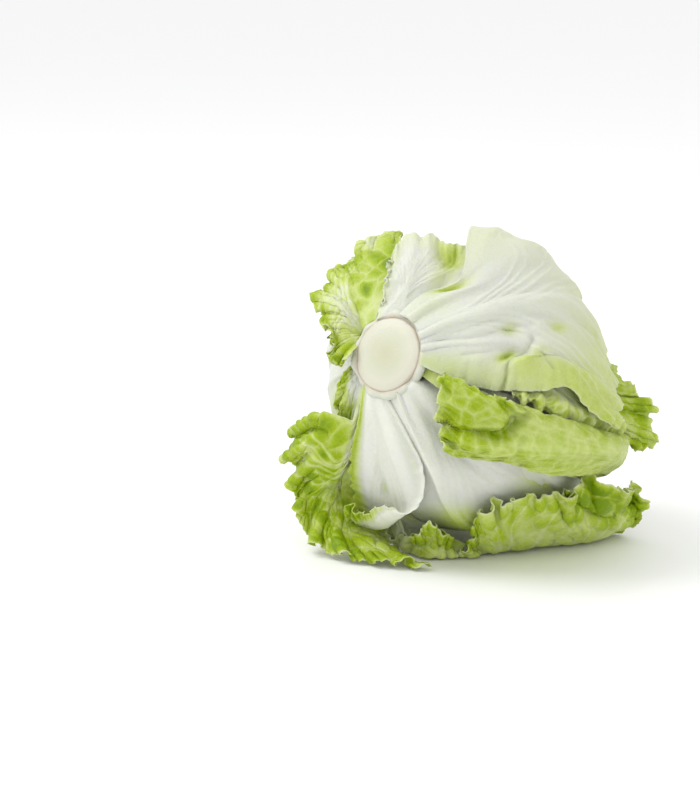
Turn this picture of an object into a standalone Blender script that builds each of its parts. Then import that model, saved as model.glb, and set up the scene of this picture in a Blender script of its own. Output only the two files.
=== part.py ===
"""An iceberg lettuce head lying on its side, as cut and trimmed.

The cut stem looks along -Y and a little upwards. Every leaf grows from beside the stem, spreads over the
heart and ends in a waved edge. The head rests on the flat underside of its lowest leaf, and the origin is
the middle of that flat spot.

A leaf is given by its ribs, from one side of the leaf to the other. A rib is a row of stations from the
stem to the leaf's edge. A station is (polar, azimuth, height): degrees from the stem's axis, degrees round
that axis from its upper side towards +X, and millimetres above the heart.
"""

import math

import bpy
import numpy as np

MM = 0.001

# Driving dimensions, in metres and degrees.
HEART_RADIUS = 74 * MM          # the ball under the leaves, from which their heights are measured
HEART_SINK = 2.2 * MM           # of the heart's own surface below that ball
FLAT_DEPTH = 9 * MM             # how far the ball is pressed in on its flatter side
FLAT_POLAR = 118                # that side's middle
FLAT_AZIMUTH = 50
FLAT_SPREAD = 34                # how wide it is
CENTRE_HEIGHT = 84 * MM         # of the ball's middle above the surface that the head lies on
STEM_TILT = 21                  # the stem's axis above the horizontal
STEM_RADIUS = 19 * MM           # the cut end
STEM_LENGTH = 22 * MM           # of the stub, from its root to the cut
STEM_TIP = 83 * MM              # from the ball's middle to the cut
LEAF_THICKNESS = 0.9 * MM       # of the blade near its edge
BASE_THICKNESS = 2.2 * MM       # of a leaf's rib beside the stem
GAP = 0.4 * MM                  # between pieces that touch
FLAT_SPOT = 22 * MM             # radius of the flat underside on which the head rests
CLEARANCE = 0.8 * MM            # of all leaves outside that spot above the surface

# How finely a leaf's form is worked out before the leaf is cut from it.
FINE_SIDE = 241
FINE_ALONG = 121

tilt = math.radians(STEM_TILT)
CENTRE = np.array([0.0, 0.0, CENTRE_HEIGHT])
STEMWARD = np.array([0.0, -math.cos(tilt), math.sin(tilt)])
UPWARD = np.array([0.0, math.sin(tilt), math.cos(tilt)])
SIDEWARD = np.array([1.0, 0.0, 0.0])

# Colours: the blanched inside, the half-lit leaf and the outer leaf.
WHITE = (0.80, 0.84, 0.66)
PALE = (0.62, 0.75, 0.34)
GREEN = (0.42, 0.62, 0.10)
CUT = (0.85, 0.84, 0.68)


def clear_scene():
    for obj in list(bpy.data.objects):
        bpy.data.objects.remove(obj)


def finish(name, colour, roughness):
    material = bpy.data.materials.new(name)
    material.use_nodes = True
    shader = material.node_tree.nodes["Principled BSDF"]
    shader.inputs["Base Color"].default_value = (*colour, 1.0)
    shader.inputs["Roughness"].default_value = roughness
    shader.inputs["Metallic"].default_value = 0.0
    return material


def direction(polar, azimuth):
    """Unit vectors from the ball's middle: polar angle from the stem, azimuth round it from the top."""
    across = np.cos(azimuth)[..., None] * UPWARD + np.sin(azimuth)[..., None] * SIDEWARD
    return np.cos(polar)[..., None] * STEMWARD + np.sin(polar)[..., None] * across


def through(values, place):
    """A smooth curve through values that stand at 0, 1, 2 and so on, read at each place."""
    values = np.asarray(values, float)
    if len(values) == 1:
        return np.repeat(values, len(place), axis=0)
    low = np.minimum(place.astype(int), len(values) - 2)
    x = (place - low).reshape((-1,) + (1,) * (values.ndim - 1))
    padded = np.concatenate([2 * values[:1] - values[1:2], values, 2 * values[-1:] - values[-2:-1]])
    a, b, c, d = (padded[low + i] for i in range(4))
    return b + 0.5 * x * (c - a + x * (2 * a - 5 * b + 4 * c - d + x * (3 * (b - c) + d - a)))


def read_at(grid, row, column):
    """A fine grid read between its points, straight."""
    low = np.minimum(row.astype(int), grid.shape[0] - 2)
    left = np.minimum(column.astype(int), grid.shape[1] - 2)
    down = (row - low)[..., None]
    right = (column - left)[..., None]
    upper = (1 - right) * grid[low, left] + right * grid[low, left + 1]
    lower = (1 - right) * grid[low + 1, left] + right * grid[low + 1, left + 1]
    return (1 - down) * upper + down * lower


def lowest(points):
    """How low a leaf may come at each point: flat in the middle, and clear of the surface outside."""
    out = np.hypot(points[..., 0], points[..., 1])
    return LEAF_THICKNESS + np.clip(0.1 * (out - FLAT_SPOT), 0, CLEARANCE)


def above_ground(points):
    """Points held above the surface, with a smooth turn where the leaf comes down on it."""
    soft = 1.5 * MM
    ground = lowest(points)
    height = points[..., 2] - ground
    turn = (height + soft) ** 2 / (4 * soft)
    held = np.where(height > soft, height, np.where(height < -soft, 0, turn))
    points[..., 2] = held + ground
    return points


def leaf_form(ribs, frill=(3,), waves=6, reach=3, skew=0.3, ripple=0.15, lobes=0.06, ridges=(), bumps=(), seed=1):
    """A leaf's surface on a fine grid: from the stem to the edge in rows, from side to side in columns."""
    draw = np.random.default_rng(seed)
    phase = draw.uniform(0, 2 * math.pi, 8)
    stations = np.array(ribs, float)
    unit = direction(np.radians(stations[..., 0]), np.radians(stations[..., 1]))
    net = np.concatenate([unit, stations[..., 2:] * MM], axis=-1)
    net = through(net, np.linspace(0, len(ribs) - 1, FINE_SIDE))
    net = through(net.swapaxes(0, 1), np.linspace(0, stations.shape[1] - 1, FINE_ALONG))

    # The outline is lobed: each rib stops at its own place between the last two stations.
    side, along = np.meshgrid(np.linspace(-1, 1, FINE_SIDE), np.linspace(0, 1, FINE_ALONG))
    count = math.pi * waves * side
    short = lobes * (1.5 + np.sin(0.7 * count + phase[3]) + 0.5 * np.sin(1.6 * count + phase[4]))
    lobe = 1 - short / (stations.shape[1] - 1)
    columns = np.broadcast_to(np.arange(float(FINE_SIDE)), along.shape)
    net = read_at(net, along * lobe * (FINE_ALONG - 1), columns)

    height = net[..., 3]
    for at_side, ridge_height, width, end in ridges:
        ridge = np.exp(-((side - at_side) / (width * (0.35 + along))) ** 2)
        height = height + ridge_height * MM * ridge * np.clip(1 - along / end, 0, 1) ** 0.7
    for at_side, at_along, wide, deep, bump_height in bumps:
        hump = np.exp(-((side - at_side) / wide) ** 2 - ((along - at_along) / deep) ** 2)
        height = height + bump_height * MM * hump
    points = above_ground(place_on_ball(net[..., :3], height))

    # The edge, longer than the leaf it borders, swings to both sides and folds over itself.
    edge = np.maximum(along ** reach, np.abs(side) ** 7 * along ** 0.8)
    edge = np.clip(1.05 * edge - 0.05, 0, 1)
    size = through(frill, np.linspace(0, len(frill) - 1, FINE_SIDE)) * MM * edge
    beat = count + 0.7 * np.sin(0.37 * count + phase[1])
    strong = 1 + 0.3 * np.sin(0.57 * count + phase[6])
    swing = (strong * np.sin(beat + phase[0]) + ripple * edge * np.sin(2.3 * beat + phase[2])) * size
    slide = strong * np.cos(beat + phase[0]) * size * skew
    across = np.gradient(points, axis=1)
    normal = np.cross(across, np.gradient(points, axis=0))
    normal /= np.linalg.norm(normal, axis=-1, keepdims=True)
    across /= np.linalg.norm(across, axis=-1, keepdims=True)
    points = points + normal * swing[..., None] + across * slide[..., None]
    points[..., 2] = np.maximum(points[..., 2], lowest(points))
    return points


def place_on_ball(unit, height):
    """Points at a height above the ball, which is round but for one flatter side."""
    unit = unit / np.linalg.norm(unit, axis=-1, keepdims=True)
    flat_side = direction(np.radians([FLAT_POLAR]), np.radians([FLAT_AZIMUTH]))[0]
    away = np.degrees(np.arccos(np.clip(unit @ flat_side, -1, 1)))
    radius = HEART_RADIUS - FLAT_DEPTH * np.exp(-(away / FLAT_SPREAD) ** 2)
    return CENTRE + unit * (radius + height)[..., None]


ROWS = (0.0, 0.16, 0.34, 0.5, 0.64, 0.76, 0.86, 0.94, 1.0)


def leaf(name, material, ribs, columns=30, rows=ROWS, base=BASE_THICKNESS, rib_share=0.35, **shape):
    """One leaf: a flat grid bent into the leaf's surface, then given its thickness."""
    bpy.ops.mesh.primitive_grid_add(x_subdivisions=columns, y_subdivisions=len(rows) - 1, size=2)
    obj = bpy.context.object
    obj.name = name
    obj.data.name = name
    flat = np.empty(len(obj.data.vertices) * 3)
    obj.data.vertices.foreach_get("co", flat)
    side = flat[0::3]
    along = np.array(rows)[np.rint((flat[1::3] + 1) / 2 * (len(rows) - 1)).astype(int)]
    points = read_at(leaf_form(ribs, **shape), along * (FINE_ALONG - 1), (side + 1) / 2 * (FINE_SIDE - 1))
    obj.data.vertices.foreach_set("co", points.ravel())

    rib = obj.vertex_groups.new(name="rib")
    share = np.clip(1 - along / rib_share, 0, 1) ** 1.2 * np.clip(1.1 - np.abs(side), 0, 1)
    for index, weight in enumerate(share):
        rib.add([index], min(1.0, weight), "REPLACE")
    split = obj.modifiers.new("Triangles", "TRIANGULATE")
    split.quad_method = "FIXED"
    blade = obj.modifiers.new("Blade", "SOLIDIFY")
    blade.thickness = base
    blade.thickness_vertex_group = LEAF_THICKNESS / base
    blade.vertex_group = rib.name
    blade.offset = 1
    obj.data.materials.append(material)
    obj.data.shade_smooth()
    return obj


def stem(material):
    """The cut stem: a short stub with a worn rim, its root in the hollow of the heart's base."""
    bpy.ops.mesh.primitive_cylinder_add(vertices=40, radius=STEM_RADIUS, depth=STEM_LENGTH)
    obj = bpy.context.object
    obj.name = "stem"
    obj.rotation_euler = (math.pi / 2 - tilt, 0, 0)
    obj.location = CENTRE + STEMWARD * (STEM_TIP - STEM_LENGTH / 2)
    rim = obj.modifiers.new("Rim", "BEVEL")
    rim.width = 1.5 * MM
    rim.segments = 2
    obj.data.materials.append(material)
    return obj


def heart(material):
    """The tight inner leaves, as one ball with a flat seat for the stem's root."""
    bpy.ops.mesh.primitive_uv_sphere_add(segments=28, ring_count=16, radius=1)
    obj = bpy.context.object
    obj.name = "heart"
    obj.data.name = "heart"
    unit = np.empty(len(obj.data.vertices) * 3)
    obj.data.vertices.foreach_get("co", unit)
    unit = unit.reshape(-1, 3)
    points = place_on_ball(unit, np.full(len(unit), -HEART_SINK)) - CENTRE
    seat = STEM_TIP - STEM_LENGTH - GAP
    points -= STEMWARD * np.clip(points @ STEMWARD - seat, 0, None)[:, None]
    obj.data.vertices.foreach_set("co", (points + CENTRE).ravel())
    obj.data.materials.append(material)
    obj.data.shade_smooth()
    return obj


def leaf_top(material):
    """The big wrapper leaf over the top, with its ribs fanning up from the stem."""
    ribs = (
        ((14, 6, 9), (22, 11, 8), (28, 16, 8), (32, 23, 8.5), (37, 26, 9), (44, 19, 10), (53, 9, 10),
         (72, 356, 10), (88, 350, 9)),
        ((14, 20, 9), (23, 23, 7), (30, 28, 6.5), (38, 33, 7), (47, 28, 7.5), (56, 23, 8), (67, 14, 8),
         (82, 8, 8), (97, 354, 8)),
        ((14, 35, 9), (23, 35, 6.5), (33, 37, 6), (45, 38, 6.5), (57, 34, 6), (71, 30, 6), (86, 23, 6),
         (100, 18, 6), (112, 12, 6)),
        ((14, 49, 9), (24, 47, 7), (36, 47, 6.5), (48, 45, 6.5), (60, 44, 6), (74, 41, 5), (88, 41, 5),
         (102, 38, 5), (116, 35, 5)),
        ((14, 64, 9), (24, 59, 7), (35, 60, 6.5), (47, 59, 5.5), (58, 60, 6), (71, 61, 5.5), (85, 63, 5),
         (99, 66, 5), (114, 68, 5)),
        ((14, 76, 9), (24, 73, 7), (35, 73, 6.5), (46, 73, 6), (54, 76, 8), (65, 75, 7.5), (77, 77, 6.5),
         (91, 78, 6), (106, 82, 7)),
        ((14, 85, 9), (23, 83, 7), (32, 84, 7.5), (41, 84, 8), (48, 81, 10.5), (57, 79, 11), (69, 81, 10.5),
         (83, 87, 12), (98, 91, 14.5)),
        ((14, 92, 9), (23, 92, 7), (32, 91, 7), (40, 92, 8), (48, 93, 10), (57, 92, 11), (66, 88, 12.5),
         (75, 94, 17.5), (91, 97, 19)),
    )
    return leaf("leaf_top", material, ribs, columns=38, frill=(1, 1.5, 1.5, 1.5, 1.5, 1.5, 1, 1), waves=7, seed=3,
                rows=(0.0, 0.12, 0.25, 0.37, 0.49, 0.6, 0.7, 0.8, 0.9, 1.0),
                ridges=((-0.35, 2, 0.1, 1.0), (0.0, 2, 0.1, 1.0), (0.3, 2, 0.1, 1.0)))


def leaf_upper_left(material):
    """The leaf left of the top one, which lies over the left frill and goes under the top leaf."""
    ribs = (
        ((14, 324, 8.5), (18, 332, 10), (22, 337, 12), (29, 338, 13), (38, 339, 14)),
        ((14, 336, 8), (21, 344, 9), (28, 346, 11), (38, 344, 12), (50, 338, 16)),
        ((14, 348, 7), (23, 353, 6.5), (33, 354, 8), (43, 352, 10), (54, 346, 14)),
        ((14, 359, 6), (24, 3, 4.5), (33, 6, 4), (44, 3, 5), (58, 354, 8)),
        ((15, 10, 4), (26, 17, 3), (36, 22, 2), (48, 18, 2), (62, 8, 3)),
    )
    return leaf("leaf_upper_left", material, ribs, columns=22, frill=(1.5, 1.5, 1.5, 1, 0.5), waves=5, seed=5)


def leaf_frill_left(material):
    """The leaf that flares out at the left, all in ruffles."""
    ribs = (
        ((16, 277, 6), (14, 269, 9), (13, 258, 12), (13, 250, 14), (14, 244, 15)),
        ((17, 281, 6), (17, 271, 10), (17, 261, 13), (17, 253, 15), (18, 248, 16)),
        ((17, 285, 6), (19, 277, 11), (20, 267, 15), (20, 260, 17), (20, 256, 18)),
        ((18, 289, 6), (21, 286, 12), (23, 280, 16), (23, 277, 18), (22, 274, 20)),
        ((17, 293, 6), (25, 296, 13), (29, 293, 17), (33, 290, 19), (37, 287, 21)),
        ((17, 297, 6), (28, 303, 13), (37, 301, 17), (45, 298, 19), (52, 295, 21)),
        ((16, 302, 6), (33, 309, 12), (43, 308, 16), (52, 305, 18), (56, 305, 21)),
        ((16, 306, 6), (34, 314, 10), (47, 314, 14), (56, 313, 17), (60, 314, 21)),
        ((16, 311, 6), (33, 320, 8), (46, 322, 12), (57, 321, 16), (63, 323, 21)),
        ((15.5, 318, 5.5), (28, 333, 5.5), (44, 335, 6), (58, 331, 9), (66, 330, 14)),
    )
    return leaf("leaf_frill_left", material, ribs, columns=42, frill=(1, 1.5, 2.5, 2.5, 2.5, 2.5, 2.5, 2, 0.5),
                waves=6, reach=1.6, skew=0.5, seed=8)


def leaf_left(material):
    """The small leaf in the gap between the left frill and the curl under it."""
    ribs = (
        ((16, 227, 3), (28, 215, 4), (40, 214, 4.5), (56, 218, 4.5)),
        ((16, 234, 3), (25, 222, 4.5), (34, 218, 5.5), (47, 218, 6)),
        ((16, 242, 3), (23, 231, 5), (30, 223, 7), (41, 220, 7)),
        ((16, 250, 3), (21, 241, 5.5), (26, 234, 7.5), (35, 227, 8)),
        ((16, 260, 3), (19, 254, 5.5), (22, 246, 8), (28, 239, 8)),
    )
    return leaf("leaf_left", material, ribs, columns=16, frill=(0.5, 1, 1.5, 1.5, 1), waves=4, seed=41, base=1.6 * MM)


def leaf_floor_left(material):
    """The outer leaf at the left: it stands as a curl beside the stem's leaf and runs out over the ground."""
    ribs = (
        ((15.5, 222, 6.5), (50, 208, 6), (77, 212, 12), (79, 199, 16), (74, 184, 24), (73, 168, 32)),
        ((15.5, 221, 6.5), (47, 208, 6), (73, 213, 15), (72, 204, 23), (68, 194, 32), (68, 183, 38)),
        ((15.5, 219.5, 6.5), (44, 208, 7), (69, 214, 16), (69, 209, 25), (67, 203, 36), (67, 197, 44)),
        ((15.5, 218, 6.5), (41, 208, 7.5), (64, 214, 15), (65, 214, 24), (67, 212, 36), (70, 208, 47)),
        ((15.5, 216.5, 6.5), (38, 207, 7.5), (53, 211, 14), (56, 215, 22), (62, 218, 30), (66, 216, 41)),
        ((15.5, 215, 7), (34, 207, 8), (43, 210, 14), (44, 216, 22), (53, 222, 27), (61, 224, 34)),
        ((15.5, 213, 7), (31, 207, 8), (34, 211, 14), (34, 219, 20), (43, 225, 24), (58, 231, 29)),
        ((15.5, 211, 7), (28, 208, 8), (28, 212, 13), (29, 220, 18), (37, 229, 21), (54, 236, 24)),
    )
    return leaf("leaf_floor_left", material, ribs, columns=42, frill=(2, 3, 3, 4, 4, 4, 3, 2), waves=7, seed=11,
                base=1.2 * MM, rows=(0.0, 0.05, 0.1, 0.16, 0.27, 0.38, 0.5, 0.61, 0.71, 0.81, 0.91, 1.0))


def leaf_cup(material):
    """The short spoon-shaped leaf under the stem."""
    ribs = (
        ((14, 214, 9), (27, 203, 9), (42, 204, 10.5), (60, 206, 12), (72, 205, 16)),
        ((14, 204, 9), (31, 198, 6.5), (46, 198, 7.5), (62, 199, 10), (76, 198, 14.5)),
        ((14, 193, 9), (31, 185, 5.5), (47, 184, 6), (61, 186, 9.5), (70, 188, 14)),
        ((14, 184, 9), (29, 171, 6.5), (44, 169, 7), (55, 172, 10), (62, 178, 14)),
        ((14, 176, 9), (26, 160, 8), (41, 157, 9), (50, 161, 12), (55, 169, 15)),
    )
    return leaf("leaf_cup", material, ribs, columns=20, frill=(2, 1.5, 1, 1, 1), waves=4, seed=13)


def leaf_side(material):
    """The big leaf down the near side, with the thickest midrib."""
    ribs = (
        ((15, 170, 6), (28, 176, 3), (45, 179, 2.5), (65, 184, 3), (92, 190, 3.5), (118, 192, 3), (140, 194, 3)),
        ((14.5, 159, 8), (29, 158, 5), (46, 160, 4.5), (66, 166, 4), (96, 174, 3.5), (124, 178, 3), (150, 182, 3)),
        ((14.5, 147, 9), (30, 150, 6), (46, 152, 6), (66, 158, 4.5), (98, 160, 3.5), (128, 163, 3), (155, 170, 3)),
        ((14.5, 133, 9), (32, 138, 3.5), (56, 142, 3), (76, 146, 3), (100, 146, 3), (128, 146, 3), (155, 146, 3)),
        ((14.5, 121, 8), (34, 125, 2.5), (60, 125, 2), (82, 130, 2.5), (104, 132, 3), (128, 130, 3), (152, 126, 3)),
        ((15.5, 114, 1.5), (34, 112, 1.5), (60, 108, 1.5), (80, 112, 1.5), (104, 116, 2), (126, 114, 2.5), (146, 108, 3)),
        ((16, 103, 1), (34, 98, 1.5), (60, 97, 1.5), (80, 100, 1.5), (104, 107, 1.5), (124, 108, 2), (140, 102, 2)),
    )
    return leaf("leaf_side", material, ribs, columns=26, frill=(0.5, 0.8), waves=5, seed=17,
                rows=(0.0, 0.08, 0.17, 0.29, 0.42, 0.55, 0.67, 0.78, 0.89, 1.0))


def leaf_floor(material):
    """The outer leaf that the head rests on, its edge turned up all along the near side."""
    ribs = (
        ((15.5, 190, 2.5), (38, 189, 2), (58, 188, 4), (71, 188, 8), (80, 188, 18), (79, 185, 20),
         (77, 183, 15)),
        ((15.5, 193, 2.5), (40, 192, 2), (62, 191, 4.5), (75, 186, 11), (82, 180, 23), (78, 179, 18),
         (74, 178, 13)),
        ((15.5, 196, 2.5), (42, 196, 2), (66, 196, 6), (78, 190, 12), (80, 176, 21), (75, 173, 15),
         (62, 165, 14)),
        ((15.5, 198, 2.5), (43, 199, 2), (69, 199, 7), (84, 193, 13), (85, 172, 19), (83, 172, 14),
         (79, 170, 9)),
        ((15.5, 200, 2.5), (44, 202, 2), (72, 203, 7.5), (90, 196, 14), (89, 168, 19), (88, 167, 16),
         (86, 166, 12)),
        ((15.5, 203, 2.5), (45, 205, 2), (75, 206, 8), (98, 200, 15), (96, 167, 16), (88, 163, 13),
         (74, 155, 12)),
        ((15.5, 206, 2.5), (45, 208, 2), (76, 210, 8), (103, 204, 15), (101, 166, 15), (77, 152, 12),
         (66, 144, 9)),
        ((15.5, 208.5, 2.5), (46, 211, 2), (77, 214, 8), (107, 209, 15), (109, 161, 16), (82, 145, 11),
         (71, 136, 8)),
        ((15.5, 211, 2.5), (46, 213, 2), (78, 218, 8), (110, 214, 15), (114, 151, 19), (92, 136, 14),
         (80, 127, 10)),
        ((15.5, 213, 2.5), (46, 215, 2), (78, 222, 8), (112, 219, 14), (120, 143, 26), (100, 129, 19),
         (89, 121, 12)),
        ((15.5, 215, 2.5), (46, 217, 2), (78, 226, 8), (114, 225, 13), (125, 136, 33), (109, 124, 23),
         (97, 114, 17)),
        ((15.5, 217.5, 2.5), (46, 220, 2), (78, 230, 8), (116, 231, 11), (131, 131, 37), (132, 123, 33),
         (134, 114, 30)),
        ((15.5, 220, 2.5), (46, 222, 2), (78, 234, 8), (117, 238, 10), (134, 133, 38), (133, 122, 41),
         (131, 116, 41)),
    )
    return leaf("leaf_floor", material, ribs, columns=42, frill=(1, 1.5, 1.5, 2, 2, 2, 3, 3.5, 3, 3), waves=8, reach=7,
                skew=0.5, seed=19, base=1.6 * MM,
                rows=(0.0, 0.09, 0.18, 0.27, 0.36, 0.45, 0.5, 0.54, 0.58, 0.62, 0.67, 0.74, 0.8, 0.86, 0.91, 0.96, 1.0))


def leaf_folded(material):
    """The leaf that goes right under the top leaf, turns over at the right and comes back towards the stem."""
    ribs = (
        ((15.5, 98, 4.5), (50, 100, 4), (85, 99, 4.5), (109, 98, 5.5), (119, 98, 10), (97, 98, 12.5),
         (78, 98, 13), (66, 98.5, 13.5), (54, 99, 14), (45, 99, 14), (38, 99, 14), (30, 97, 14.5),
         (22, 97, 14)),
        ((15.5, 100, 4.5), (50, 102, 4), (85, 101, 5), (112, 100, 6), (121, 99, 13), (99, 99, 16),
         (79, 100, 17), (66, 101, 17), (54, 102, 17), (45, 103.5, 17.5), (37, 104.5, 18), (29, 105.5, 17.5),
         (23, 106, 16)),
        ((15.5, 102, 4.5), (50, 104, 4), (85, 103, 5), (114, 103, 6), (122, 101, 14), (100, 101, 16),
         (80, 103, 17.5), (66, 105, 17.5), (56, 107, 15), (49, 112, 13), (41, 115, 13), (34, 117, 14.5),
         (26, 117, 16)),
        ((15.5, 104, 4.5), (50, 106, 4), (86, 106, 5), (114, 106, 6), (123, 104, 15), (102, 104, 16),
         (82, 106, 17.5), (67, 109, 18), (57, 113, 17), (50, 118, 15.5), (43, 121, 15), (36, 124, 15),
         (28, 124, 16)),
        ((15.5, 106, 4.5), (50, 109, 4), (86, 110, 5), (113, 109, 6), (122, 108, 15), (103, 108, 15),
         (83, 109, 16), (69, 112, 17), (59, 116, 17), (51, 121, 16), (45, 127, 15), (39, 130, 15),
         (32, 130, 16)),
        ((15.5, 108, 4.5), (50, 112, 4), (84, 114, 5), (109, 112, 6), (119, 111, 13), (103, 111, 13),
         (85, 113, 14.5), (71, 116, 15), (60, 119, 15), (52, 124, 14.5), (46, 129, 14), (41, 133, 14.5),
         (36, 134, 15)),
        ((15.5, 110, 4.5), (48, 115, 4), (80, 119, 5), (100, 118, 6), (113, 115, 11), (100, 114, 11.5),
         (85, 117, 12), (72, 121, 13), (61, 123, 13), (53, 127, 13), (47, 132, 13), (43, 136, 14),
         (39, 138, 14)),
    )
    return leaf("leaf_folded", material, ribs, columns=18, frill=(2, 2, 3, 3, 2), waves=3, reach=8, seed=23,
                rows=(0.0, 0.03, 0.06, 0.085, 0.11, 0.14, 0.17, 0.2, 0.23, 0.26, 0.29, 0.32, 0.35, 0.385, 0.42, 0.47,
                      0.52, 0.58, 0.64, 0.7, 0.76, 0.82, 0.88, 0.94, 1.0))


def leaf_tucked(material):
    """The leaf caught between the top leaf and the folded one, of which only the curled edge shows."""
    ribs = (
        ((15.5, 91, 3), (24, 90, 3.5), (36, 94, 6), (40, 96.5, 10)),
        ((15.5, 89.5, 3), (32, 87, 3.5), (46, 93, 6.5), (48, 96.5, 12)),
        ((15.5, 88, 3), (40, 84, 3.5), (58, 92, 6.5), (59, 96, 13)),
        ((15.5, 86.5, 3), (46, 81, 3.5), (68, 91, 7), (70, 95, 13)),
        ((15.5, 85, 3), (52, 79, 3), (80, 90, 7), (82, 94.5, 13.5)),
        ((15.5, 83.5, 3), (60, 80, 3), (92, 89, 6.5), (94, 94, 13.5)),
        ((15.5, 82, 3), (66, 80, 3), (104, 89, 5), (108, 94, 12)),
    )
    return leaf("leaf_tucked", material, ribs, columns=22, frill=(1, 2), waves=5, seed=29, base=1.4 * MM,
                rows=(0.0, 0.09, 0.18, 0.27, 0.37, 0.48, 0.58, 0.67, 0.76, 0.84, 0.92, 1.0))


def leaf_back(material):
    """The wrapper leaf of the far side."""
    ribs = (
        ((16, 232, 1), (50, 228, 2), (85, 224, 2.2), (118, 214, 2.5), (146, 200, 3.5)),
        ((16, 252, 1), (50, 252, 2), (90, 252, 2.5), (130, 248, 3), (165, 230, 4)),
        ((16, 270, 1), (50, 272, 2), (90, 277, 2.5), (130, 285, 3), (168, 320, 4)),
        ((16, 288, 1), (50, 292, 2), (88, 299, 2.5), (120, 312, 3), (148, 345, 4)),
        ((16, 306, 1), (46, 312, 2), (78, 319, 2.5), (106, 331, 3), (128, 353, 4)),
    )
    return leaf("leaf_back", material, ribs, columns=22, frill=(1,), waves=6, seed=31, ridges=((0, 2, 0.12, 1.1),),
                base=1.6 * MM)


def leaf_crown(material):
    """The leaf over the crown, whose edge flares out at the right."""
    ribs = (
        ((60, 322, -0.6), (90, 320, -0.6), (120, 318, -0.6), (150, 310, -0.6)),
        ((58, 350, -0.6), (90, 350, -0.6), (122, 350, -0.6), (158, 350, -0.6)),
        ((55, 18, -0.6), (88, 18, -0.6), (120, 20, -0.5), (160, 30, 0)),
        ((52, 45, -0.6), (82, 46, -0.6), (110, 48, -0.5), (145, 56, 2)),
        ((54, 66, -0.6), (80, 68, -0.4), (108, 70, 0.2), (124, 71, 11)),
        ((60, 79, -0.6), (86, 80, -0.2), (112, 81, 0.8), (124, 80, 22)),
        ((66, 88, -0.6), (90, 88, -0.2), (114, 88, 1), (127, 87, 30)),
        ((74, 94, -0.6), (95, 93, 0), (116, 94, 1), (130, 98, 30)),
    )
    return leaf("leaf_crown", material, ribs, columns=32, frill=(0.3, 0.3, 0.5, 1, 2, 3, 3, 2), waves=7, seed=37,
                base=LEAF_THICKNESS * 1.2, rows=(0.0, 0.11, 0.22, 0.33, 0.44, 0.55, 0.66, 0.76, 0.85, 0.93, 1.0))


def build():
    clear_scene()
    white = finish("white_leaf", WHITE, 0.4)
    pale = finish("pale_leaf", PALE, 0.4)
    green = finish("green_leaf", GREEN, 0.4)
    pieces = [
        stem(finish("cut_stem", CUT, 0.5)),
        heart(pale),
        leaf_top(white),
        leaf_upper_left(white),
        leaf_frill_left(green),
        leaf_left(green),
        leaf_floor_left(green),
        leaf_cup(white),
        leaf_side(white),
        leaf_floor(green),
        leaf_folded(pale),
        leaf_tucked(green),
        leaf_back(white),
        leaf_crown(pale),
    ]
    head = bpy.data.collections.new("iceberg_lettuce")
    bpy.context.scene.collection.children.link(head)
    for piece in pieces:
        for holder in list(piece.users_collection):
            holder.objects.unlink(piece)
        head.objects.link(piece)


build()
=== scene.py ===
"""The looks of an iceberg lettuce head lying on its side.

The head is put together from the inside out: the cut stem, the heart, then the leaves in the order in which
they lie over one another, and last the surface, the light and the camera. Lengths are in metres, or in
millimetres where a leaf's own numbers are given.
"""

import math

import bpy
import numpy as np
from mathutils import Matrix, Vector


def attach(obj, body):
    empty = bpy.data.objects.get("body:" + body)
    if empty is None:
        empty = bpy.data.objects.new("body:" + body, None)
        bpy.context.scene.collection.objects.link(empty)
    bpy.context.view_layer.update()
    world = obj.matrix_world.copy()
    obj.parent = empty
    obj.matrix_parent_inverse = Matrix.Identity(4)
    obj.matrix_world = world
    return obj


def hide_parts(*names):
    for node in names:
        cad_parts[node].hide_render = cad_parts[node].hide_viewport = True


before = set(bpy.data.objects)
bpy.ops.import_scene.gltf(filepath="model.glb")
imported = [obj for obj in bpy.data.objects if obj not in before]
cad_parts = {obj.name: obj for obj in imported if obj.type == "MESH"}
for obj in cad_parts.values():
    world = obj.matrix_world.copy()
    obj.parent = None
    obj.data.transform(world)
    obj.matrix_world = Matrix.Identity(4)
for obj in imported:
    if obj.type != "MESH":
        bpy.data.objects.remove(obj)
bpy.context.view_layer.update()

# The cut stem
# A short stub of pale, wet flesh, cut off straight with a knife. Its face is cream with a greener middle,
# and its rim has dried a little and gone buff where the outer leaves were pulled off. The bases of the leaves
# that are left close round it in a white collar.
MM = 0.001
STEM_TILT = math.radians(21)
CENTRE = np.array([0.0, 0.0, 84 * MM])
STEMWARD = np.array([0.0, -math.cos(STEM_TILT), math.sin(STEM_TILT)])
UPWARD = np.array([0.0, math.sin(STEM_TILT), math.cos(STEM_TILT)])
SIDEWARD = np.array([1.0, 0.0, 0.0])
STEM_RADIUS = 19 * MM
STEM_LENGTH = 22 * MM
STEM_TIP = 83 * MM
COLLAR_RADIUS = 20.2 * MM
COLLAR_THICKNESS = 2.4 * MM
COLLAR_DEPTH = 4.2 * MM


class Amount:
    """A number that the shader works out. Sums and products of amounts add Math nodes."""

    def __init__(self, finish, socket):
        self.finish = finish
        self.socket = socket

    def join(self, operation, first, second, clamp=False):
        settings = dict(operation=operation, use_clamp=clamp)
        node = self.finish.add("ShaderNodeMath", settings, {0: first, 1: second})
        return Amount(self.finish, node.outputs[0])

    def __add__(self, other):
        return self.join("ADD", self, other)

    def __radd__(self, other):
        return self.join("ADD", other, self)

    def __sub__(self, other):
        return self.join("SUBTRACT", self, other)

    def __rsub__(self, other):
        return self.join("SUBTRACT", other, self)

    def __mul__(self, other):
        return self.join("MULTIPLY", self, other)

    def __rmul__(self, other):
        return self.join("MULTIPLY", other, self)

    def __pow__(self, other):
        return self.join("POWER", self, other)

    def held(self):
        return self.join("MULTIPLY", self, 1.0, clamp=True)


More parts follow.
